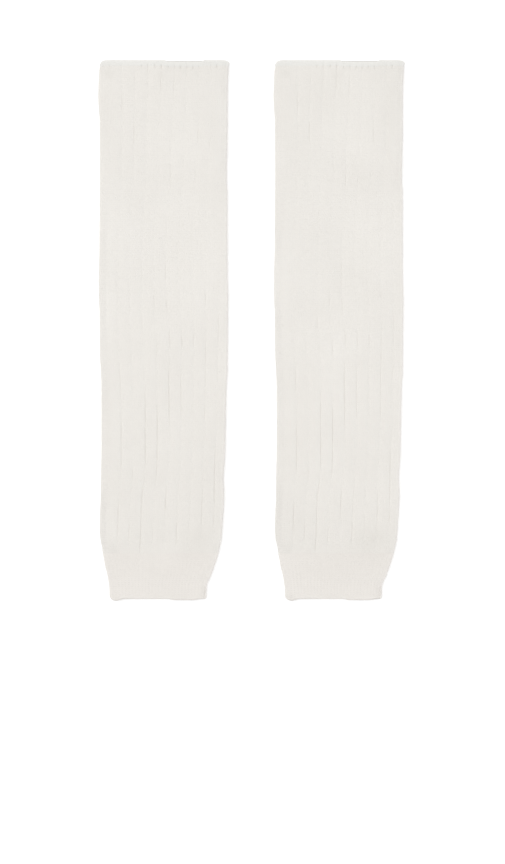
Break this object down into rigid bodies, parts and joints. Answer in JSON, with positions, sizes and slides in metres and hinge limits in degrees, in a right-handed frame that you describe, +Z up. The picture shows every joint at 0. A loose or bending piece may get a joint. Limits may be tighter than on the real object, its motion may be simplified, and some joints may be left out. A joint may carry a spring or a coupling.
{
  "type": "pair of leg warmers",
  "caption": "Pair of ribbed knit leg warmers laid flat side by side: hollow wide-rib tubes, open at both ends, with a narrow welt at the top and an ankle cuff that draws in.",
  "frame": {"origin": "on the surface that the cloth lies on, under the middle of the pair", "axes": "+Y along the legs from the ankle cuffs towards the top welts, +X from the left leg warmer to the right one as seen from above, +Z up out of the surface"},
  "size_m": [0.307, 0.5414, 0.0065],
  "materials": {
    "welt_knit": "off-white yarn, narrow plain turned edge",
    "wide_rib_knit": "off-white yarn, wide flat rib with thin sunk lines between the ribs",
    "ankle_rib_knit": "off-white yarn, fine close rib"
  },
  "bodies": {
    "root": {"welt_left": "welt_knit", "tube_left": "wide_rib_knit", "cuff_left": "ankle_rib_knit", "welt_right": "welt_knit", "tube_right": "wide_rib_knit", "cuff_right": "ankle_rib_knit"}
  },
  "joints": []
}
